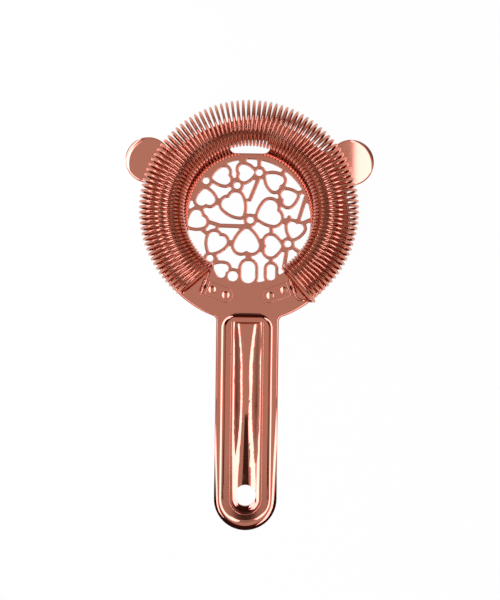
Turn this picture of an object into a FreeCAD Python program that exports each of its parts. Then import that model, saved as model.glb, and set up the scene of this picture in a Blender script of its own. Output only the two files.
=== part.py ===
import FreeCAD, Part
import math
import os

# Hawthorne strainer: a flat stamped sheet with a pierced disc, two ears and a
# long handle, and a coil spring of round wire that runs round the disc and is
# held at both ends by small strips folded over the wire and spot-welded.
#
# Frame, in millimetres: the origin is the middle of the strainer's length and
# width, on the back of the sheet.  +Z points out of the sheet on the spring's
# side, +Y points from the handle to the ears and +X to the right.  Everything
# is drawn about the middle of the disc, and main() moves it to that origin.

V = FreeCAD.Vector
UP = V(0, 0, 1)
TINY = 1e-6
NEAR = 0.01                 # edges this near each other are taken as one
BEYOND = 1.0                # how far a cutter reaches past what it cuts

# ---- sheet ----------------------------------------------------------------
SHEET = 1.5                 # thickness of the stamped sheet
DISC_RADIUS = 42.3          # the disc that lies inside the rim of the tin
EAR_RADIUS = 9.6
EAR_X = 42.3                # middle of each ear, left and right of the disc
EAR_Y = 25.0
EAR_FILLET = 4.0            # corners where the ears leave the disc
EAR_CROWN_SHIFT = 3.0       # the ears' rounding is struck from this much nearer the disc
EAR_CROWN_SPAN = 170.0      # its arc, in degrees
EDGE_TOP = 0.7              # rounding of the outline, spring side
EDGE_BACK = 0.35            # rounding of the outline, back
SLOT_WIDTH = 17.0           # the slot between the ears
SLOT_HEIGHT = 5.6
SLOT_Y = 31.1

# ---- handle ---------------------------------------------------------------
HANDLE_WIDTH = 26.2
HANDLE_END = 129.1          # from the middle of the disc to the handle's tip
HANDLE_FILLET = 2.0         # corners where the handle leaves the disc
HOLE_RADIUS = 4.45          # the hanging hole
HOLE_FROM_TIP = 14.6
CROWN_FROM_EDGE = 2.0       # from the handle's edge to the crown line of its rim
CROWN_RADIUS = 4.0          # rounding of the rim across, on both sides of that line
CROWN_START = 1.5           # slope beside that line, in degrees
CROWN_FADE = 43.0           # towards the disc the outer rounding ends this far from its middle
CROWN_FADE_OUT = 0.2        # and its line is then this far outside the handle's edge
PAN_TOP = 38.3              # from the middle of the disc to the crown line of the pan's top wall
PAN_CORNER = 6.3            # corners of that line in plan
PAN_DEPTH = 0.8
PAN_WALL = 2.1              # in plan, from the crown line to the floor
PAN_WALL_ROUND = 1.75       # the part of that which is rounded
RIB_FROM_PAN = 3.8          # from the pan's top line to the rib
RIB_END_SLOPE = 45.0        # of the rib's end towards the disc
RIB_FOOT = 6.2              # half the width of the rib at the pan's floor
RIB_BOW = 0.64              # share of each flank that bows out, above the hollow foot
RIB_SINK = 0.02             # the foot runs out this far under the floor
GROOVE_FROM_FOOT = 0.5      # the fine pressed line round the rib
GROOVE_RADIUS = 0.25

# The rib along the handle: how far along it, from its end towards the disc (0)
# to the middle of the handle's round end (1), half the width of the crest
# there, and the crest's height over the pan's floor.
RIB = (
    (0.00, 2.6, 0.85),
    (0.08, 2.0, 1.20),
    (0.19, 1.1, 1.50),
    (0.32, 0.8, 1.62),
    (0.47, 0.7, 1.65),
    (0.61, 0.8, 1.28),
    (0.74, 1.0, 0.92),
    (0.88, 1.3, 0.70),
    (1.00, 1.7, 0.60),
)

# ---- coil spring ----------------------------------------------------------
WIRE = 1.1                  # diameter of the spring wire
COIL_MIDDLE_Y = 3.4         # middle of the ring that the coil follows
COIL_RING = 35.4            # radius of that ring, at the middle of the coil
COIL_RADIUS = 8.72          # from the middle of the coil to the middle of the wire
WINDINGS = 98
COIL_START = -56.5          # angle on the ring of the first inner bend, in degrees
END_LEAN = 4.0              # how far the last windings' outer bends lead the inner ones
LEFT_BEND = 6.2             # bend between the last winding and its strip
RIGHT_BEND = 5.0            # bend between the first winding and its strip
RIGHT_TURN = 62.0           # the first winding also turns sideways, in degrees
RIGHT_TURN_RADIUS = 2.5
STRAIGHT = 0.2              # straight wire before each of those bends
HINGE_GAP = 0.3             # parts the clipped ends from the end windings
END_WINDINGS = 2            # windings beside each strip that only tip up with the coil
COIL_STRETCHES = 8          # equal stretches of the coil between the end windings

# ---- strips folded over the ends of the wire --------------------------------
STRIP = 0.5                 # thickness of the strip
STRIP_WIDTH = 6.2
STRIP_LENGTH = 14.1         # from the outside of the fold to the round end
STRIP_EDGE = 0.2            # rounding of the strip's top edges
STRIP_TURN = 21.0           # how far each strip is turned from the X axis
STRIP_SLOPE = 45.0          # of the top layer, from the fold down to the lower one
STRIP_DIP = 1.0             # radius of the bend where the layers meet
STRIP_X = 18.5              # middle of the clipped wire
STRIP_Y = -27.4
WIRE_FIT = 0.05             # between the wire and the fold
WIRE_STUB = 0.5             # cut end of the wire, beyond the strip
WELD_RADIUS = 1.5           # the dimple over each spot weld
WELD_DEPTH = 0.2
WELD_FROM_WIRE = 3.9        # the spot weld beside the fold

# ---- pierced pattern ------------------------------------------------------
PATTERN_RADIUS = 25.8
WEB = 1.4                   # metal left round every motif
BAR_WIDTH = 1.7             # the bars that part one opening from the next
CELL_ROUND = 0.6            # corners of the openings between the motifs
CELL_SMALLEST = 5.0         # openings of less area than this stay closed
LIP = 0.35                  # rounding of every pierced edge, spring side
DOT_RADIUS = 1.4

HEART_LOBE = 0.285          # radii of a heart's outline, as shares of its width: the lobes,
HEART_TIP = 0.13            # the tip,
HEART_SIDE = 1.1            # the bowed sides
HEART_NOTCH = 0.075         # and the fillet between the lobes,
SMALLEST_NOTCH = 0.2        # which is never less than this

# hearts: middle x, middle y, width over the lobes, length, where the tip points
HEARTS = (
    (-11.9, 18.5, 7.3, 7.2, 190),
    (-1.2, 20.2, 7.0, 6.4, 5),
    (10.1, 17.0, 6.9, 7.4, 143),
    (-18.3, 9.8, 7.8, 6.8, 95),
    (-5.9, 6.2, 9.2, 10.0, -55),
    (16.9, 10.2, 6.8, 6.2, 20),
    (8.1, 3.2, 10.6, 9.2, 200),
    (-22.2, 0.0, 7.8, 7.4, 215),
    (-13.9, -9.5, 8.0, 8.4, 240),
    (-0.9, -8.2, 10.3, 9.9, 90),
    (10.2, -10.3, 8.6, 6.8, 0),
    (19.2, -3.7, 6.8, 6.6, -105),
    (-11.7, -20.3, 6.0, 6.0, 150),
)
# dots: middle x, middle y, radius
DOTS = (
    (-18.1, 16.6, DOT_RADIUS),
    (4.1, 20.3, DOT_RADIUS),
    (-5.1, 14.8, DOT_RADIUS),
    (0.6, 0.4, DOT_RADIUS),
    (-16.0, -15.7, DOT_RADIUS),
    (16.4, -9.3, DOT_RADIUS),
    (-6.4, -23.1, 1.5 * DOT_RADIUS),
)
# upright ovals: middle x, middle y, width, height
OVALS = (
    (0.0, -21.3, 5.7, 9.2),
    (9.5, -21.3, 3.4, 6.6),
)
# bars that part the openings between the motifs: two ends of each
BARS = (
    (4.1, 20.3, 3.9, 26.5),
    (12.6, 18.5, 15.5, 22.5),
    (18.5, 11.5, 24.5, 13.0),
    (4.1, 18.5, 0.3, 9.0),
    (23.5, 10.0, 20.8, 1.0),
    (16.8, 1.8, 17.6, -1.0),
    (22.0, -0.8, 26.5, 1.2),
    (9.0, -1.0, 9.8, -6.5),
    (16.4, -9.3, 14.8, -19.5),
    (16.4, -9.3, 22.5, -13.5),
    (9.4, -14.0, 9.5, -18.5),
    (-0.6, -13.0, -0.2, -17.0),
    (-9.8, -9.3, -5.8, -9.3),
    (-14.5, -14.0, -12.5, -18.0),
    (-20.5, -3.0, -16.0, -6.5),
    (-19.0, 0.2, -12.0, -2.0),
    (-12.0, -2.0, 0.0, -2.2),
    (0.6, 0.4, 5.5, 0.5),
)


def disc_face(x, y, radius):
    """A round face."""
    return Part.Face(Part.Wire(Part.makeCircle(radius, V(x, y, 0))))


def closed(edges):
    """The face inside edges that follow each other."""
    return Part.Face(Part.Wire(edges))


def arc(start, middle, end):
    return Part.Arc(start, middle, end).toShape()


def line(start, end):
    return Part.LineSegment(start, end).toShape()


def capsule(x1, y1, x2, y2, radius):
    """A straight bar with round ends."""
    start = V(x1, y1, 0)
    end = V(x2, y2, 0)
    along = (end - start).normalize()
    side = V(-along.y, along.x, 0) * radius
    tip = along * radius
    return closed([
        line(start - side, end - side),
        arc(end - side, end + tip, end + side),
        line(end + side, start + side),
        arc(start + side, start - tip, start - side),
    ])


def heart(x, y, width, length, tip_angle, grow=0.0):
    """A heart of two round lobes with a small fillet between them, bowed sides and a round tip.

    grow moves the whole outline outwards by that much.
    """
    lobe = HEART_LOBE * width
    tip = HEART_TIP * width
    side = HEART_SIDE * width
    lobe_middle = V(lobe - length / 2, width / 2 - lobe, 0)
    tip_middle = V(length / 2 - tip, 0, 0)
    notch = max(HEART_NOTCH * width - grow, SMALLEST_NOTCH)
    # the side's middle lies where its arc touches both the lobe and the tip from outside
    apart = tip_middle - lobe_middle
    across = V(apart.y, -apart.x, 0).normalize()
    along = ((side - lobe) ** 2 - (side - tip) ** 2 + apart.Length ** 2) / (2 * apart.Length)
    aside = math.sqrt((side - lobe) ** 2 - along ** 2)
    side_middle = lobe_middle + across * aside + V(apart).normalize() * along
    lobe += grow
    tip += grow
    side += grow
    notch_middle = V(lobe_middle.x - math.sqrt((lobe + notch) ** 2 - lobe_middle.y ** 2), 0, 0)
    meet = lobe_middle + (notch_middle - lobe_middle).normalize() * lobe
    outer = lobe_middle + V(-1, 1, 0).normalize() * lobe
    to_lobe = (lobe_middle - side_middle).normalize()
    to_tip = (tip_middle - side_middle).normalize()
    side_start = side_middle + to_lobe * side
    side_end = side_middle + to_tip * side
    bow = side_middle + (to_lobe + to_tip).normalize() * side

    def below(point):
        return V(point.x, -point.y, 0)

    face = closed([
        arc(below(meet), notch_middle + V(notch, 0, 0), meet),
        arc(meet, outer, side_start),
        arc(side_start, bow, side_end),
        arc(side_end, tip_middle + V(tip, 0, 0), below(side_end)),
        arc(below(side_end), below(bow), below(side_start)),
        arc(below(side_start), below(outer), below(meet)),
    ])
    face.rotate(V(0, 0, 0), UP, tip_angle)
    face.translate(V(x, y, 0))
    return face


def motifs(grow=0.0):
    """All hearts, dots and ovals of the pattern, as faces."""
    faces = [heart(*values, grow=grow) for values in HEARTS]
    faces += [disc_face(x, y, radius + grow) for x, y, radius in DOTS]
    for x, y, width, height in OVALS:
        reach = (height - width) / 2
        faces.append(capsule(x, y - reach, x, y + reach, width / 2 + grow))
    return faces


def cells():
    """The openings between the motifs, with rounded corners."""
    metal = motifs(grow=WEB)
    metal += [capsule(*ends, BAR_WIDTH / 2) for ends in BARS]
    left = disc_face(0, 0, PATTERN_RADIUS).cut(metal)
    openings = []
    for face in left.Faces:
        if face.Area < CELL_SMALLEST:
            continue
        for core in face.makeOffset2D(-CELL_ROUND, join=0).Faces:
            opening = core.makeOffset2D(CELL_ROUND, join=0).Faces[0]
            if opening.Area > CELL_SMALLEST:
                openings.append(opening)
    return openings


def pierced_cutters():
    """Solids that pierce every opening of the pattern through the sheet."""
    openings = motifs() + cells()
    return [face.extrude(UP * SHEET) for face in openings]


def edges_at(shape, z, keep=None):
    """The edges that lie flat at height z, and for which keep(edge) holds."""
    found = []
    for edge in shape.Edges:
        box = edge.BoundBox
        flat = abs(box.ZMin - z) < TINY and abs(box.ZMax - z) < TINY
        if flat and (keep is None or keep(edge)):
            found.append(edge)
    return found


def distance(edge, x, y):
    """From an upright edge to the upright line through x, y."""
    middle = edge.CenterOfMass
    return math.hypot(middle.x - x, middle.y - y)


def blank():
    """The stamped outline of the sheet: disc, ears and handle."""
    half = HANDLE_WIDTH / 2
    ears = [disc_face(side * EAR_X, EAR_Y, EAR_RADIUS) for side in (-1, 1)]
    handle = capsule(0, 0, 0, half - HANDLE_END, half)
    face = disc_face(0, 0, DISC_RADIUS).fuse(ears + [handle]).removeSplitter()
    body = face.Faces[0].extrude(UP * SHEET)
    upright = [edge for edge in body.Edges if edge.BoundBox.ZLength > SHEET / 2]
    corners = [edge for edge in upright if abs(distance(edge, 0, 0) - DISC_RADIUS) < NEAR]
    ear_corners = [
        edge for edge in corners
        if abs(distance(edge, EAR_X, EAR_Y) - EAR_RADIUS) < NEAR
        or abs(distance(edge, -EAR_X, EAR_Y) - EAR_RADIUS) < NEAR
    ]
    handle_corners = [
        edge for edge in corners
        if edge.CenterOfMass.y < 0 and abs(abs(edge.CenterOfMass.x) - half) < NEAR
    ]
    body = body.makeFillet(EAR_FILLET, ear_corners)
    body = body.makeFillet(HANDLE_FILLET, matching(body, handle_corners))
    body = body.makeFillet(EDGE_TOP, edges_at(body, SHEET))
    return body.makeFillet(EDGE_BACK, edges_at(body, 0))


def matching(shape, edges):
    """The edges of a reworked shape that lie where the given ones lay."""
    places = [edge.CenterOfMass for edge in edges]
    found = []
    for edge in shape.Edges:
        if any(edge.CenterOfMass.distanceToPoint(place) < NEAR for place in places):
            found.append(edge)
    return found


def end_centre():
    """Middle of the handle's round end, in plan."""
    return HANDLE_WIDTH / 2 - HANDLE_END


def swept(path, corners, arc_middle):
    """A solid of one section along a path, with corners as (left of the path, height).

    The section's first two corners are joined by an arc through arc_middle.
    """
    first = path.Edges[0]
    start = first.valueAt(first.FirstParameter)
    left = UP.cross(first.tangentAt(first.FirstParameter))

    def place(corner):
        return start + left * corner[0] + UP * (corner[1] - start.z)

    points = [place(corner) for corner in corners]
    edges = [arc(points[0], place(arc_middle), points[1])]
    for one, next_one in zip(points[1:], points[2:] + points[:1]):
        edges.append(line(one, next_one))
    return path.makePipe(closed(edges))


def crown_point(reach):
    """On the rim's rounding, this far from the crown line: (reach, height)."""
    lean = math.radians(CROWN_START)
    off_centre = reach + CROWN_RADIUS * math.sin(lean)
    drop = CROWN_RADIUS * math.cos(lean) - math.sqrt(CROWN_RADIUS ** 2 - off_centre ** 2)
    return reach, SHEET - drop


def pan_line(half, top, corner):
    """A long closed line in plan, round at the handle's tip, running anticlockwise."""
    end_y = end_centre()
    side_top = top - corner
    diagonal = corner * math.sqrt(0.5)
    inner = half - corner
    return Part.Wire([
        line(V(half, end_y, 0), V(half, side_top, 0)),
        arc(V(half, side_top, 0), V(inner + diagonal, side_top + diagonal, 0), V(inner, top, 0)),
        line(V(inner, top, 0), V(-inner, top, 0)),
        arc(V(-inner, top, 0), V(-inner - diagonal, side_top + diagonal, 0), V(-half, side_top, 0)),
        line(V(-half, side_top, 0), V(-half, end_y, 0)),
        arc(V(-half, end_y, 0), V(0, end_y - half, 0), V(half, end_y, 0)),
    ])


def pan_cutters():
    """What the press sinks into the handle: the pan's rounded wall and its flat floor."""
    half = HANDLE_WIDTH / 2 - CROWN_FROM_EDGE
    floor = SHEET - PAN_DEPTH
    above = SHEET + BEYOND
    beyond = PAN_WALL + BEYOND
    wall = swept(
        pan_line(half, -PAN_TOP, PAN_CORNER),
        [
            crown_point(0),
            crown_point(PAN_WALL_ROUND),
            (PAN_WALL, floor),
            (beyond, floor),
            (beyond, above),
            (0, above),
        ],
        crown_point(PAN_WALL_ROUND / 2),
    )
    inset = PAN_WALL + BEYOND / 2
    middle = Part.Face(pan_line(half - inset, -PAN_TOP - inset, PAN_CORNER - inset))
    middle.translate(UP * floor)
    return [wall, middle.extrude(UP * (PAN_DEPTH + BEYOND))]


def rim_cutter():
    """What rounds the handle's outer edge: its line leaves the sheet towards the disc."""
    end_y = end_centre()
    radius = HANDLE_WIDTH / 2 - CROWN_FROM_EDGE
    start = V(-HANDLE_WIDTH / 2 - CROWN_FADE_OUT, -CROWN_FADE, 0)
    from_end = math.hypot(start.x, start.y - end_y)
    turn = math.atan2(start.y - end_y, start.x) + math.acos(radius / from_end)
    touch = V(radius * math.cos(turn), end_y + radius * math.sin(turn), 0)
    far_touch = V(-touch.x, touch.y, 0)
    path = Part.Wire([
        line(V(-start.x, start.y, 0), far_touch),
        arc(far_touch, V(0, end_y - radius, 0), touch),
        line(touch, start),
    ])
    return rounding(path)


def rounding(path):
    """What rounds an edge of the sheet, on the left of a path in plan."""
    reach = CROWN_FROM_EDGE + BEYOND / 2
    above = SHEET + BEYOND
    corners = [crown_point(0), crown_point(reach), (reach, above), (0, above)]
    return swept(path, corners, crown_point(reach / 2))


def rib_top():
    """Where the rib ends towards the disc."""
    return -PAN_TOP - RIB_FROM_PAN


def rib_flank(y, crest, height):
    """One side of the rib across: crest edge, bow, steepest point, hollow, foot.

    Two arcs meet at the steepest point, and both ends of the flank are level.
    """
    floor = SHEET - PAN_DEPTH - RIB_SINK
    rise = height + RIB_SINK
    run = RIB_FOOT - crest
    turn = 2 * math.atan(rise / run)
    radii = run / math.sin(turn)
    bow = RIB_BOW * radii
    hollow = radii - bow

    def on_bow(angle):
        return V(crest + bow * math.sin(angle), y, floor + rise - bow * (1 - math.cos(angle)))

    def on_hollow(angle):
        return V(RIB_FOOT - hollow * math.sin(angle), y, floor + hollow * (1 - math.cos(angle)))

    return on_bow(0), on_bow(turn / 2), on_bow(turn), on_hollow(turn / 2), on_hollow(0)


def mirrored(point):
    return V(-point.x, point.y, point.z)


def rib_profile(y, crest, height):
    """The whole rib across, as a closed wire that reaches under the pan's floor."""
    right = rib_flank(y, crest, height)
    left = [mirrored(point) for point in right]
    root = right[4] - UP * PAN_DEPTH / 2
    return Part.Wire([
        line(left[0], right[0]),
        arc(right[0], right[1], right[2]),
        arc(right[2], right[3], right[4]),
        line(right[4], root),
        line(root, mirrored(root)),
        line(mirrored(root), left[4]),
        arc(left[4], left[3], left[2]),
        arc(left[2], left[1], left[0]),
    ])


def rib():
    """The raised rib in the pan: sloped towards the disc, with a round end about the hanging hole."""
    top_y = rib_top()
    long_part = Part.makeLoft([
        rib_profile(top_y + (end_centre() - top_y) * along, crest, height)
        for along, crest, height in RIB
    ], True)
    _, crest, height = RIB[-1]
    right = rib_flank(end_centre(), crest, height)
    root = right[4] - UP * PAN_DEPTH / 2
    top = V(0, root.y, right[0].z)
    bottom = V(0, root.y, root.z)
    half_profile = closed([
        line(top, right[0]),
        arc(right[0], right[1], right[2]),
        arc(right[2], right[3], right[4]),
        line(right[4], root),
        line(root, bottom),
        line(bottom, top),
    ])
    end = half_profile.revolve(V(0, end_centre(), 0), UP, -180)
    foot = V(-RIB_FOOT, top_y, SHEET - PAN_DEPTH)
    rise = 2 * SHEET
    over = foot + UP * rise
    set_back = over - V(0, rise / math.tan(math.radians(RIB_END_SLOPE)), 0)
    end_slope = closed([line(foot, set_back), line(set_back, over), line(over, foot)])
    return long_part.fuse(end).cut(end_slope.extrude(V(2 * RIB_FOOT, 0, 0)))


def rib_groove():
    """The fine line pressed into the floor round the rib."""
    side = RIB_FOOT + GROOVE_FROM_FOOT
    top_y = rib_top()
    end_y = end_centre()
    floor = SHEET - PAN_DEPTH
    path = Part.Wire([
        line(V(side, top_y, floor), V(side, end_y, floor)),
        arc(V(side, end_y, floor), V(0, end_y - side, floor), V(-side, end_y, floor)),
        line(V(-side, end_y, floor), V(-side, top_y, floor)),
    ])
    ring = Part.Wire(Part.makeCircle(GROOVE_RADIUS, V(side, top_y, floor), V(0, -1, 0)))
    return path.makePipe(Part.Face(ring))


def ear_cutter(side):
    """What rounds an ear's outer edge: an arc struck from nearer the disc, which fades at its ends."""
    outwards = V(side * EAR_X, EAR_Y, 0).normalize()
    centre = V(side * EAR_X, EAR_Y, 0) - outwards * EAR_CROWN_SHIFT
    radius = EAR_RADIUS - CROWN_FROM_EDGE + EAR_CROWN_SHIFT
    axis = math.atan2(outwards.y, outwards.x)

    def on_arc(turn):
        return centre + V(math.cos(axis + turn), math.sin(axis + turn), 0) * radius

    half_turn = math.radians(EAR_CROWN_SPAN) / 2
    path = Part.Wire([arc(on_arc(half_turn), on_arc(0), on_arc(-half_turn))])
    return rounding(path)


def strainer_plate():
    """The sheet with its pan and rib, the hanging hole, the slot and the pierced disc."""
    body = blank().cut(pan_cutters() + [rim_cutter(), ear_cutter(-1), ear_cutter(1)])
    body = body.fuse(rib()).cut(rib_groove())
    reach = (SLOT_WIDTH - SLOT_HEIGHT) / 2
    slot = capsule(-reach, SLOT_Y, reach, SLOT_Y, SLOT_HEIGHT / 2)
    hole = Part.makeCylinder(HOLE_RADIUS, SHEET + BEYOND, V(0, HOLE_FROM_TIP - HANDLE_END, 0))
    body = body.cut([slot.extrude(UP * SHEET), hole] + pierced_cutters())

    def pierced_edge(edge):
        box = edge.BoundBox
        inside = max(abs(box.XMin), abs(box.XMax)) < PATTERN_RADIUS + BEYOND
        return inside and box.YMin > -PATTERN_RADIUS - BEYOND and box.YMax < SLOT_Y + SLOT_HEIGHT

    return body.makeFillet(LIP, edges_at(body, SHEET, pierced_edge)).Solids[0]


def wire_height():
    """Height of the middle of the wire where it lies in the folded strips."""
    return SHEET + STRIP + WIRE_FIT + WIRE / 2


def strip_frame(side):
    """Middle of the clipped wire, the way the wire runs outwards and the way the strip runs."""
    turn = math.radians(STRIP_TURN)
    middle = V(side * STRIP_X, STRIP_Y, wire_height())
    outwards = V(side * math.sin(turn), -math.cos(turn), 0)
    along = V(-side * math.cos(turn), -math.sin(turn), 0)
    return middle, outwards, along


def strip_side(middle, along):
    """The folded strip seen along the wire, as a face with the wire's loop left open."""
    inner = WIRE / 2 + WIRE_FIT
    outer = inner + STRIP
    slope = math.radians(STRIP_SLOPE)
    fall = (inner * (1 + math.cos(slope)) - STRIP_DIP * (1 - math.cos(slope))) / math.sin(slope)
    dip_x = (inner + STRIP_DIP) * math.sin(slope) + fall * math.cos(slope)
    end_x = STRIP_LENGTH - outer

    def at(x, z):
        return middle + along * x + UP * z

    def round_fold(radius, angle):
        return at(radius * math.sin(angle), radius * math.cos(angle))

    def dip(radius, angle):
        return at(dip_x - radius * math.sin(angle), STRIP_DIP - inner - radius * math.cos(angle))

    thin = STRIP_DIP - STRIP
    outside = Part.Wire([
        line(at(end_x, -outer), at(0, -outer)),
        arc(at(0, -outer), at(-outer, 0), round_fold(outer, slope)),
        line(round_fold(outer, slope), dip(thin, slope)),
        arc(dip(thin, slope), dip(thin, slope / 2), dip(thin, 0)),
        line(dip(thin, 0), at(end_x, STRIP - inner)),
        line(at(end_x, STRIP - inner), at(end_x, -outer)),
    ])
    loop = Part.Wire([
        line(at(dip_x, -inner), at(0, -inner)),
        arc(at(0, -inner), at(-inner, 0), round_fold(inner, slope)),
        line(round_fold(inner, slope), dip(STRIP_DIP, slope)),
        arc(dip(STRIP_DIP, slope), dip(STRIP_DIP, slope / 2), dip(STRIP_DIP, 0)),
    ])
    return Part.Face(outside).cut(Part.Face(loop)).Faces[0]


def runs_along(edge, along):
    """True for an edge of the strip's sides or round end, false for one across the strip."""
    start, end = edge.Vertexes[0].Point, edge.Vertexes[-1].Point
    return abs((end - start).dot(along)) > TINY or edge.Length > start.distanceToPoint(end) + TINY


def spring_clip(side):
    """A strip folded over the wire's end and spot-welded to the sheet."""
    middle, outwards, along = strip_frame(side)
    half = STRIP_WIDTH / 2
    outer = WIRE / 2 + WIRE_FIT + STRIP
    body = strip_side(middle - outwards * half, along).extrude(outwards * STRIP_WIDTH)
    start = middle - along * (outer + half + BEYOND)
    end = middle + along * (STRIP_LENGTH - outer - half)
    plan = capsule(start.x, start.y, end.x, end.y, half)
    body = body.common(plan.extrude(UP * (SHEET + 4 * outer))).Solids[0]
    weld_top = wire_height() - outer + 2 * STRIP
    body = body.makeFillet(STRIP_EDGE, edges_at(body, weld_top, lambda edge: runs_along(edge, along)))
    sphere_radius = (WELD_RADIUS ** 2 + WELD_DEPTH ** 2) / (2 * WELD_DEPTH)
    near = middle + along * WELD_FROM_WIRE
    for weld in (near, end):
        sphere_middle = V(weld.x, weld.y, weld_top + sphere_radius - WELD_DEPTH)
        body = body.cut(Part.makeSphere(sphere_radius, sphere_middle))
    return body.Solids[0]


def swept_wire(path):
    """Round wire along a smooth path of lines and arcs."""
    first = path.Edges[0]
    tangent = first.tangentAt(first.FirstParameter)
    ring = Part.makeCircle(WIRE / 2, first.valueAt(first.FirstParameter), tangent)
    return path.makePipe(Part.Face(Part.Wire(ring)))


def leaving(side):
    """Where and which way the wire leaves the strip towards the coil.

    On the left it leaves inwards and on the right outwards, because the
    coil turns the same way from one end to the other.
    """
    middle, outwards, _ = strip_frame(side)
    way = outwards * side
    return middle + way * (STRIP_WIDTH / 2), way


def spring_end(side):
    """The end of the wire that lies in the folded strip."""
    mouth, way = leaving(side)
    cut_end = mouth - way * (STRIP_WIDTH + WIRE_STUB)
    return swept_wire(Part.Wire(line(cut_end, mouth + way * HINGE_GAP)))


def coil_height():
    """Height of the middle of the coil, whose windings reach down to the clipped wire."""
    return wire_height() + COIL_RADIUS


def ring_point(radius, angle):
    turn = math.radians(angle)
    return V(radius * math.cos(turn), COIL_MIDDLE_Y + radius * math.sin(turn), coil_height())


def half_winding(start, end, way_up):
    """Half a winding over (1) or under (-1) the ring, with upright ends."""
    middle = (start + end) * 0.5
    return arc(start, middle + UP * (way_up * start.distanceToPoint(end) / 2), end)


def rising_end(mouth, way, radius):
    """From lying along way to standing upright at the coil's middle height."""
    start = mouth
    middle = start + way * (radius * math.sin(math.pi / 4)) + UP * (radius * (1 - math.cos(math.pi / 4)))
    end = start + (way + UP) * radius
    bend = V(end.x, end.y, coil_height())
    return [arc(start, middle, end), line(end, bend)], bend


def right_lead():
    """The wire from the right strip to the first outer bend."""
    mouth, way = leaving(1)
    start = mouth + way * (2 * HINGE_GAP)
    corner = start + way * STRAIGHT
    left = V(-way.y, way.x, 0)
    turn = math.radians(RIGHT_TURN)

    def turned(angle):
        return corner + (left * (1 - math.cos(angle)) + way * math.sin(angle)) * RIGHT_TURN_RADIUS

    way_on = way * math.cos(turn) + left * math.sin(turn)
    flat = [line(start, corner), arc(corner, turned(turn / 2), turned(turn))]
    upright, bend = rising_end(turned(turn), way_on, RIGHT_BEND)
    return flat + upright, bend


def left_lead():
    """The wire from the left strip to the last inner bend."""
    mouth, way = leaving(-1)
    start = mouth + way * (2 * HINGE_GAP)
    corner = start + way * STRAIGHT
    upright, bend = rising_end(corner, way, LEFT_BEND)
    return [line(start, corner)] + upright, bend


def coil_path():
    """The wire from strip to strip: right end windings, the coil's stretches, left end windings.

    Each winding runs over the ring to its inner bend and under it to its
    outer bend, so the stretches part at outer bends.
    """
    lead, outer = right_lead()
    last_lead, last_inner = left_lead()
    last_angle = math.degrees(math.atan2(last_inner.y - COIL_MIDDLE_Y, last_inner.x)) % 360
    step = (last_angle - COIL_START) / WINDINGS
    half_span = (last_angle - COIL_START) / 2
    windings = []
    for winding in range(WINDINGS):
        angle = COIL_START + winding * step
        inner = ring_point(COIL_RING - COIL_RADIUS, angle)
        off_crown = (angle + step / 2 - COIL_START - half_span) / half_span
        lean = END_LEAN * off_crown ** 3
        next_outer = ring_point(COIL_RING + COIL_RADIUS, angle + step / 2 - lean)
        windings += [half_winding(outer, inner, 1), half_winding(inner, next_outer, -1)]
        outer = next_outer
    pressed = WINDINGS - 2 * END_WINDINGS
    parting = [
        2 * (END_WINDINGS + round(pressed * stretch / COIL_STRETCHES))
        for stretch in range(COIL_STRETCHES + 1)
    ]
    right_run = list(lead) + windings[:parting[0]]
    stretches = [windings[first:last] for first, last in zip(parting, parting[1:])]
    left_run = windings[parting[-1]:] + [half_winding(outer, last_inner, 1)] + list(reversed(last_lead))
    return right_run, stretches, left_run


def middle_of_length():
    """From the middle of the disc to the middle of the strainer's length."""
    crown = COIL_MIDDLE_Y + COIL_RING + COIL_RADIUS + WIRE / 2
    return (crown - HANDLE_END) / 2


def main():
    right_run, stretches, left_run = coil_path()
    nodes = {
        "strainer_plate": strainer_plate(),
        "spring_clip_left": spring_clip(-1),
        "spring_clip_right": spring_clip(1),
        "spring_end_left": spring_end(-1),
        "spring_end_right": spring_end(1),
        "end_windings_left": swept_wire(Part.Wire(left_run)),
        "end_windings_right": swept_wire(Part.Wire(right_run)),
    }
    for number, stretch in enumerate(stretches, 1):
        nodes["coil_spring_" + str(number)] = swept_wire(Part.Wire(stretch))
    os.makedirs("parts", exist_ok=True)
    for node, shape in nodes.items():
        shape.translate(V(0, -middle_of_length(), 0))
        shape.exportStep("parts/" + node + ".step")


main()
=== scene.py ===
import math

import bpy
import numpy as np
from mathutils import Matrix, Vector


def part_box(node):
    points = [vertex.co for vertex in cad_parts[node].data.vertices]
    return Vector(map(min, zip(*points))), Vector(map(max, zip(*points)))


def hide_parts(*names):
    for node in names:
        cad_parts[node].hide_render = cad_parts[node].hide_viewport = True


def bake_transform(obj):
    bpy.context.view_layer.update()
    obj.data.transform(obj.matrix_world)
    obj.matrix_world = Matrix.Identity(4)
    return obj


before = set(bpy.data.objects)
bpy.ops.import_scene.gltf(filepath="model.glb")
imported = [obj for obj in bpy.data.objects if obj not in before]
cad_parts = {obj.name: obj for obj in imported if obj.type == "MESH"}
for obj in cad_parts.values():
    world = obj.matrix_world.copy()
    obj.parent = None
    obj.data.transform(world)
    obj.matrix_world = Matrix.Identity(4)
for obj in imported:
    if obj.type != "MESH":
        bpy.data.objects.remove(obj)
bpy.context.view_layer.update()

# Hawthorne strainer: a flat, mirror-polished sheet with a pierced disc, and a
# coil spring clipped round it.  Lengths are in metres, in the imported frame: +Z
# out of the sheet on the spring's side, +Y from the handle to the ears.

MM = 0.001
UP = np.array([0.0, 0.0, 1.0])

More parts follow.
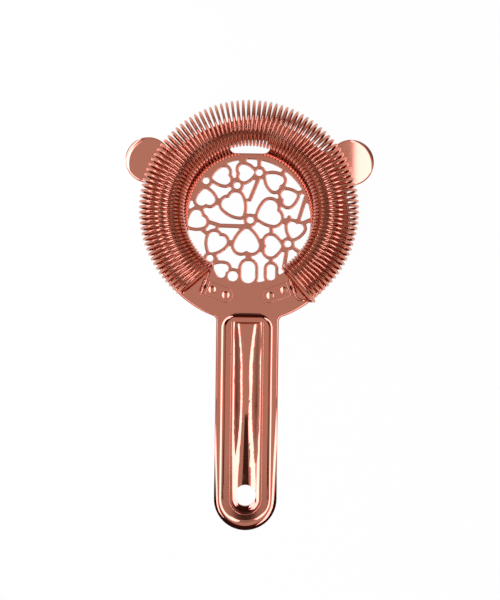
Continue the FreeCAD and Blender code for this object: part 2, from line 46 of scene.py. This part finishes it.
# ---- sizes the spring repeats from the construction -------------------------
COIL_RADIUS = 8.72 * MM         # middle of the coil to the middle of the wire
WINDINGS = 98
END_WINDINGS = 2                # at each end, on the body that only tips up
COIL_START = -56.5              # angle of the first inner bend, in degrees
END_LEAN = 4.0                  # lead of the last windings' outer bends, in degrees
LEFT_BEND = 6.2 * MM
STRAIGHT = 0.2 * MM
HINGE_GAP = 0.3 * MM
STRIP_WIDTH = 6.2 * MM
STRIP_TURN = 21.0               # degrees
STRIP_FROM_RING = np.array([-18.5, -30.8]) * MM     # from the ring's middle to the left strip's wire
COIL_NODES = ["coil_spring_" + str(number) for number in range(1, 9)]

# ---- how finely the wire is meshed ------------------------------------------
STEPS_PER_HALF_WINDING = 13
FACES_AROUND_WIRE = 12

# ---- colours -------------------------------------------------------------------
WHITE = "#FFFFFF"
PLATE_COPPER = "#CD826C"
WIRE_COPPER = "#D0876D"
FLOOR_PAINT = "#F4F4F2"

# ---- camera -----------------------------------------------------------------
SHEET_TOP = 1.5 * MM
VIEW_DISTANCE = 347 * MM        # from the sheet's front face to the lens
VIEW_HEIGHT = 250.2 * MM        # of what the frame shows at that distance
VIEW_MIDDLE = (0.9 * MM, 7.6 * MM)
VIEW_ROLL = math.radians(0.76)
SENSOR = 36.0                   # long side, in millimetres

# ---- floor --------------------------------------------------------------------
FLOOR_HALF = 1.5                # half the length of each side
FLOOR_GAP = 0.05 * MM           # from the floor up to the sheet's back
FLOOR_GLOW = 0.96               # share of the floor that shows plain white, where it is seen

# ---- light -------------------------------------------------------------------
# A slant is how far a direction runs to the right (across), or towards the
# ears (along), for each metre that it rises.
# Each pair is a slant and the brightness there, and for the horizon a rise.
ROOM_ACROSS = (
    (-2.3, 0.05), (-1.9, 0.2), (-0.9, 0.45), (-0.36, 0.75), (0.0, 0.68),
    (0.2, 0.7), (0.55, 0.8), (0.9, 0.55), (1.7, 0.3), (2.1, 0.05),
)
ROOM_ALONG = (
    (-1.5, 0.05), (-0.36, 0.08), (-0.27, 0.9), (-0.2, 1.05), (0.35, 1.0),
    (0.6, 0.6), (1.5, 0.75),
)
ROOM_HORIZON = ((0.0, 0.7), (0.25, 0.55), (0.36, 0.03), (1.0, 0.03))
LEAST_RISE = 0.01               # level directions are taken to rise this much
DARK_TINT = "#FFA0A0"           # the unlit parts of the room are a warm brown
UNTINTED = 0.4                  # brightness from which the room is white
# a small dark flag in the card: how much of the light it takes at each slant
FLAG_ACROSS = ((-0.018, 0.0), (-0.014, 1.0), (0.009, 1.0), (0.012, 0.0))
FLAG_ALONG = ((-0.29, 0.0), (-0.28, 1.0), (-0.207, 1.0), (-0.202, 0.0))
SOFTBOX_COLOUR = "#EAE5FF"
# Softboxes, facing down: left, right, near and far edges and height over the
# sheet, in millimetres, and brightness.
SOFTBOXES = {
    "right_softbox": (122, 340, -573, 382, 637, 4.7),
    "left_softbox": (-201, -109, -265, 176, 294, 4.7),
    "left_ear_softbox": (-100, -62, 30, 110, 30, 4.7),
}


def linear(hex_colour):
    """sRGB hex to linear RGB, with an alpha of 1."""
    values = [int(hex_colour[i:i + 2], 16) / 255 for i in (1, 3, 5)]
    return [v / 12.92 if v <= 0.04045 else ((v + 0.055) / 1.055) ** 2.4 for v in values] + [1.0]


# ---- materials ----------------------------------------------------------------

def add_node(tree, kind, links=None, **settings):
    """One shader node with its properties, socket values and incoming links."""
    node = tree.nodes.new(kind)
    for name, value in settings.items():
        if name in node.inputs and not hasattr(type(node), name):
            node.inputs[name].default_value = value
        else:
            setattr(node, name, value)
    for socket, source in (links or {}).items():
        tree.links.new(source, node.inputs[socket])
    return node


def new_material(name):
    """An empty node material and its node tree."""
    material = bpy.data.materials.new(name)
    material.use_nodes = True
    material.node_tree.nodes.clear()
    return material, material.node_tree


def finish_material(tree, surface):
    """Joins a surface shader to the material's output."""
    add_node(tree, "ShaderNodeOutputMaterial", {"Surface": surface})


def mirror_polished_copper_plate():
    """Steel sheet, copper plated and buffed: a clean mirror with the faint waves of rolled sheet."""
    material, tree = new_material("mirror_polished_copper_plate")
    place = add_node(tree, "ShaderNodeTexCoord").outputs["Object"]
    # buffing haze in patches about 12 mm across, so 80 to the metre
    haze = add_node(tree, "ShaderNodeTexNoise", {"Vector": place}, Scale=80.0, Detail=3.0)
    rough = add_node(tree, "ShaderNodeMapRange", {"Value": haze.outputs["Fac"]})
    rough.inputs["To Min"].default_value = 0.03
    rough.inputs["To Max"].default_value = 0.07
    # waves of the rolled sheet, about 25 mm apart and a hundredth of a millimetre deep
    # at most, of which Strength keeps a third
    waves = add_node(tree, "ShaderNodeTexNoise", {"Vector": place}, Scale=40.0, Detail=1.0)
    bump = add_node(tree, "ShaderNodeBump", {"Height": waves.outputs["Fac"]})
    bump.inputs["Strength"].default_value = 0.3
    bump.inputs["Distance"].default_value = 0.01 * MM
    metal = add_node(tree, "ShaderNodeBsdfPrincipled", {
        "Roughness": rough.outputs["Result"],
        "Normal": bump.outputs["Normal"],
    })
    metal.inputs["Base Color"].default_value = linear(PLATE_COPPER)
    metal.inputs["Metallic"].default_value = 1.0
    finish_material(tree, metal.outputs["BSDF"])
    return material


def copper_plated_wire():
    """Drawn spring wire, copper plated: bright, with slightly darker drawing streaks."""
    material, tree = new_material("copper_plated_wire")
    place = add_node(tree, "ShaderNodeTexCoord").outputs["Object"]
    # streaks a little over a millimetre across, as fine as can show
    streaks = add_node(tree, "ShaderNodeTexNoise", {"Vector": place}, Scale=900.0, Detail=3.0)
    rough = add_node(tree, "ShaderNodeMapRange", {"Value": streaks.outputs["Fac"]})
    rough.inputs["To Min"].default_value = 0.06
    rough.inputs["To Max"].default_value = 0.12
    metal = add_node(tree, "ShaderNodeBsdfPrincipled", {"Roughness": rough.outputs["Result"]})
    metal.inputs["Base Color"].default_value = linear(WIRE_COPPER)
    metal.inputs["Metallic"].default_value = 1.0
    finish_material(tree, metal.outputs["BSDF"])
    return material


def pale_floor():
    """A matt white studio floor that shows white to the eye and in the metal, and keeps a faint shadow.

    It is clear from underneath, so that the sheet's back can be looked at.
    """
    material, tree = new_material("white_studio_floor")
    path = add_node(tree, "ShaderNodeLightPath")
    seen = add_node(tree, "ShaderNodeMath", {
        0: path.outputs["Is Camera Ray"],
        1: path.outputs["Is Glossy Ray"],
    }, operation="MAXIMUM")
    share = add_node(tree, "ShaderNodeMath", {0: seen.outputs[0]}, operation="MULTIPLY")
    share.inputs[1].default_value = FLOOR_GLOW
    matt = add_node(tree, "ShaderNodeBsdfDiffuse")
    matt.inputs["Color"].default_value = linear(FLOOR_PAINT)
    white = add_node(tree, "ShaderNodeEmission")
    white.inputs["Color"].default_value = linear(WHITE)
    mix = add_node(tree, "ShaderNodeMixShader", {
        0: share.outputs[0],
        1: matt.outputs["BSDF"],
        2: white.outputs["Emission"],
    })
    side = add_node(tree, "ShaderNodeNewGeometry")
    clear = add_node(tree, "ShaderNodeBsdfTransparent")
    one_sided = add_node(tree, "ShaderNodeMixShader", {
        0: side.outputs["Backfacing"],
        1: mix.outputs["Shader"],
        2: clear.outputs["BSDF"],
    })
    finish_material(tree, one_sided.outputs["Shader"])
    return material


# ---- the coil -----------------------------------------------------------------

def finish_cad_node(node, material):
    """A CAD node in its finish."""
    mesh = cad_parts[node].data
    mesh.materials.clear()
    mesh.materials.append(material)


def spring_sizes():
    """The ring's middle and radius, the wire's radius and the coil's height, from the CAD boxes."""
    low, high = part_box("spring_end_left")
    wire_radius = (high.z - low.z) / 2
    wire_height = (high.z + low.z) / 2
    coil_high = np.max([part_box(node)[1] for node in COIL_NODES], axis=0)
    ring_radius = coil_high[0] - COIL_RADIUS - wire_radius
    ring_middle = np.array([0.0, coil_high[1] - coil_high[0], wire_height + COIL_RADIUS])
    return ring_middle, ring_radius, wire_radius


def last_inner_angle():
    """The angle on the ring of the last inner bend, which stands in line with the left strip's wire."""
    turn = math.radians(STRIP_TURN)
    inwards = np.array([math.sin(turn), math.cos(turn)])
    reach = STRIP_WIDTH / 2 + 2 * HINGE_GAP + STRAIGHT + LEFT_BEND
    x, y = STRIP_FROM_RING + inwards * reach
    return math.degrees(math.atan2(y, x)) % 360


def coil_bends(ring_middle, ring_radius):
    """Inner and outer bends of every winding: points on two level circles round the ring.

    The inner bends are evenly spaced.  Each outer bend lies half a step on,
    less a lean that grows with the cube of the way from the crown to the ends.
    """
    last = last_inner_angle()
    step = (last - COIL_START) / WINDINGS
    half_span = (last - COIL_START) / 2
    inner = COIL_START + step * np.arange(WINDINGS)
    off_crown = (inner + step / 2 - COIL_START - half_span) / half_span
    outer = inner + step / 2 - END_LEAN * off_crown ** 3

    def on_circle(radius, angles):
        turn = np.radians(angles)
        flat = np.stack([np.cos(turn), np.sin(turn), np.zeros(len(turn))], 1)
        return ring_middle + radius * flat

    return on_circle(ring_radius - COIL_RADIUS, inner), on_circle(ring_radius + COIL_RADIUS, outer)


def half_winding_path(starts, ends, way_up):
    """Upright half circles from starts to ends, as points and unit tangents.

    A point is the middle plus cos(t) times half the way back to the start
    plus sin(t) times as much upwards or downwards, for t from 0 to pi.
    """
    middle = (starts + ends) / 2
    back = starts - middle
    rise = np.linalg.norm(back, axis=1)[:, None] * way_up[:, None] * UP
    t = np.linspace(0, math.pi, STEPS_PER_HALF_WINDING, endpoint=False)[None, :, None]
    points = middle[:, None] + np.cos(t) * back[:, None] + np.sin(t) * rise[:, None]
    along = -np.sin(t) * back[:, None] + np.cos(t) * rise[:, None]
    along /= np.linalg.norm(along, axis=2, keepdims=True)
    return points, along


def wire_surface(points, tangents, sides, radius):
    """Round wire: a circle of that radius, square to the tangent, carried along the path."""
    across = np.cross(tangents, sides)
    turn = np.linspace(0, 2 * math.pi, FACES_AROUND_WIRE, endpoint=False)
    ring = np.cos(turn)[None, :, None] * sides[:, None] + np.sin(turn)[None, :, None] * across[:, None]
    return points[:, None] + radius * ring


def tube_mesh(name, rings):
    """A closed mesh through rings of points, with a flat face at each end."""
    count, around = rings.shape[:2]
    index = np.arange(count * around).reshape(count, around)
    on = np.roll(index, -1, axis=1)
    quads = np.stack([index[:-1], on[:-1], on[1:], index[1:]], -1).reshape(-1, 4)
    faces = quads.tolist() + [index[0, ::-1].tolist(), index[-1].tolist()]
    mesh = bpy.data.meshes.new(name)
    mesh.from_pydata(rings.reshape(-1, 3).tolist(), [], faces)
    smooth = np.ones(len(faces), bool)
    smooth[-2:] = False
    mesh.polygons.foreach_set("use_smooth", smooth)
    mesh.update()
    return mesh


def coil_spring(material):
    """The coil between the end windings: half windings over and under the ring in turn."""
    ring_middle, ring_radius, wire_radius = spring_sizes()
    inner, outer = coil_bends(ring_middle, ring_radius)
    kept = slice(END_WINDINGS, WINDINGS - END_WINDINGS)
    before = outer[END_WINDINGS - 1:WINDINGS - END_WINDINGS - 1]
    starts = np.stack([before, inner[kept]], 1).reshape(-1, 3)
    ends = np.stack([inner[kept], outer[kept]], 1).reshape(-1, 3)
    way_up = np.tile([1.0, -1.0], len(before))
    points, tangents = half_winding_path(starts, ends, way_up)
    outwards = (starts - ends) * way_up[:, None]
    outwards /= np.linalg.norm(outwards, axis=1, keepdims=True)
    sides = np.repeat(np.cross(UP, outwards)[:, None], STEPS_PER_HALF_WINDING, axis=1)
    points, tangents, sides = (a.reshape(-1, 3) for a in (points, tangents, sides))
    # the last bend closes the run
    points = np.vstack([points, ends[-1]])
    tangents = np.vstack([tangents, UP])
    sides = np.vstack([sides, sides[-1]])
    rings = wire_surface(points, tangents, sides, wire_radius)
    piece = bpy.data.objects.new("spring_wire_coil", tube_mesh("spring_wire_coil", rings))
    piece.data.materials.append(material)
    bpy.context.scene.collection.objects.link(piece)
    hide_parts(*COIL_NODES)
    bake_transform(piece)


# ---- floor, light and camera -----------------------------------------------------

def studio_floor(material):
    """A large level floor just under the sheet's back."""
    half = FLOOR_HALF
    corners = [(x, y, -FLOOR_GAP) for x, y in ((-half, -half), (half, -half), (half, half), (-half, half))]
    mesh = bpy.data.meshes.new("studio_floor")
    mesh.from_pydata(corners, [], [(0, 1, 2, 3)])
    mesh.materials.append(material)
    floor = bpy.data.objects.new("studio_floor", mesh)
    bpy.context.scene.collection.objects.link(floor)


def softbox(name, left, right, near, far, rise, brightness):
    """A flat lamp over the sheet, facing straight down, as bright as brightness times white."""
    lamp = bpy.data.lights.new(name, "AREA")
    lamp.shape = "RECTANGLE"
    lamp.color = linear(SOFTBOX_COLOUR)[:3]
    lamp.size = (right - left) * MM
    lamp.size_y = (far - near) * MM
    lamp.energy = brightness * math.pi * lamp.size * lamp.size_y
    holder = bpy.data.objects.new(name, lamp)
    holder.location = ((left + right) / 2 * MM, (near + far) / 2 * MM, SHEET_TOP + rise * MM)
    holder.visible_camera = False
    bpy.context.scene.collection.objects.link(holder)


def tone_along(tree, value, stops):
    """A brightness that runs through stops, pairs of (value, brightness) in rising order."""
    low, high = stops[0][0], stops[-1][0]
    top = max(tone for _, tone in stops)
    share = add_node(tree, "ShaderNodeMapRange", {"Value": value})
    share.inputs["From Min"].default_value = low
    share.inputs["From Max"].default_value = high
    ramp = add_node(tree, "ShaderNodeValToRGB", {"Fac": share.outputs["Result"]})
    elements = ramp.color_ramp.elements
    while len(elements) < len(stops):
        elements.new(0.5)
    for element, (at, tone) in zip(elements, stops):
        element.position = (at - low) / (high - low)
        element.color = (tone / top, tone / top, tone / top, 1)
    scaled = add_node(tree, "ShaderNodeMath", {0: ramp.outputs["Color"]}, operation="MULTIPLY")
    scaled.inputs[1].default_value = top
    return scaled.outputs[0]


def studio_world():
    """A dim room lit from above: a card overhead, a bright bank right of it and a lighter horizon.

    The card and the bank lie at slants, which are how far a direction runs to
    the right, or towards the ears, for each metre that it rises.  The small
    dark flag in the card is what darkens the crest of the handle's rib.
    """
    world = bpy.data.worlds.new("studio_room")
    bpy.context.scene.world = world
    world.use_nodes = True
    tree = world.node_tree
    tree.nodes.clear()
    direction = add_node(tree, "ShaderNodeTexCoord").outputs["Generated"]
    way = add_node(tree, "ShaderNodeSeparateXYZ", {0: direction})
    rise = add_node(tree, "ShaderNodeMath", {0: way.outputs["Z"]}, operation="MAXIMUM")
    rise.inputs[1].default_value = LEAST_RISE

    def combined(operation, first, second):
        return add_node(tree, "ShaderNodeMath", {0: first, 1: second}, operation=operation).outputs[0]

    slant_across = combined("DIVIDE", way.outputs["X"], rise.outputs[0])
    slant_along = combined("DIVIDE", way.outputs["Y"], rise.outputs[0])
    across = tone_along(tree, slant_across, ROOM_ACROSS)
    along = tone_along(tree, slant_along, ROOM_ALONG)
    horizon = tone_along(tree, way.outputs["Z"], ROOM_HORIZON)
    flag_across = tone_along(tree, slant_across, FLAG_ACROSS)
    flag_along = tone_along(tree, slant_along, FLAG_ALONG)
    unflagged = add_node(tree, "ShaderNodeMath", {1: combined("MULTIPLY", flag_across, flag_along)},
                         operation="SUBTRACT")
    unflagged.inputs[0].default_value = 1.0
    card = combined("MULTIPLY", combined("MULTIPLY", across, along), unflagged.outputs[0])
    bright = combined("MAXIMUM", card, horizon)
    lit_share = add_node(tree, "ShaderNodeMapRange", {"Value": bright})
    lit_share.inputs["From Max"].default_value = UNTINTED
    tint = add_node(tree, "ShaderNodeMix", {"Factor": lit_share.outputs["Result"]}, data_type="RGBA")
    dark_colour, lit_colour = tint.inputs[6], tint.inputs[7]
    dark_colour.default_value = linear(DARK_TINT)
    lit_colour.default_value = linear(WHITE)
    room = add_node(tree, "ShaderNodeBackground", {"Color": tint.outputs[2], "Strength": bright})
    white = add_node(tree, "ShaderNodeBackground")
    white.inputs["Color"].default_value = linear(WHITE)
    path = add_node(tree, "ShaderNodeLightPath")
    mix = add_node(tree, "ShaderNodeMixShader", {
        0: path.outputs["Is Camera Ray"],
        1: room.outputs["Background"],
        2: white.outputs["Background"],
    })
    add_node(tree, "ShaderNodeOutputWorld", {"Surface": mix.outputs["Shader"]})


def camera():
    """Looks straight down on the spring's side, from above the middle of the object."""
    data = bpy.data.cameras.new("camera")
    data.sensor_width = SENSOR
    data.lens = SENSOR * VIEW_DISTANCE / VIEW_HEIGHT
    data.clip_start = 0.01
    data.clip_end = 10
    holder = bpy.data.objects.new("camera", data)
    holder.location = (*VIEW_MIDDLE, SHEET_TOP + VIEW_DISTANCE)
    holder.rotation_euler = (0, 0, VIEW_ROLL)
    bpy.context.scene.collection.objects.link(holder)
    bpy.context.scene.camera = holder


def main():
    """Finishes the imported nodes, adds the coil, and sets the floor, light and camera."""
    sheet = mirror_polished_copper_plate()
    wire = copper_plated_wire()
    for node in ("strainer_plate", "spring_clip_left", "spring_clip_right"):
        finish_cad_node(node, sheet)
    for node in ("spring_end_left", "spring_end_right", "end_windings_left", "end_windings_right"):
        finish_cad_node(node, wire)
    coil_spring(wire)
    studio_floor(pale_floor())
    studio_world()
    for name, values in SOFTBOXES.items():
        softbox(name, *values)
    camera()
    bpy.context.scene.view_settings.view_transform = "Standard"


main()
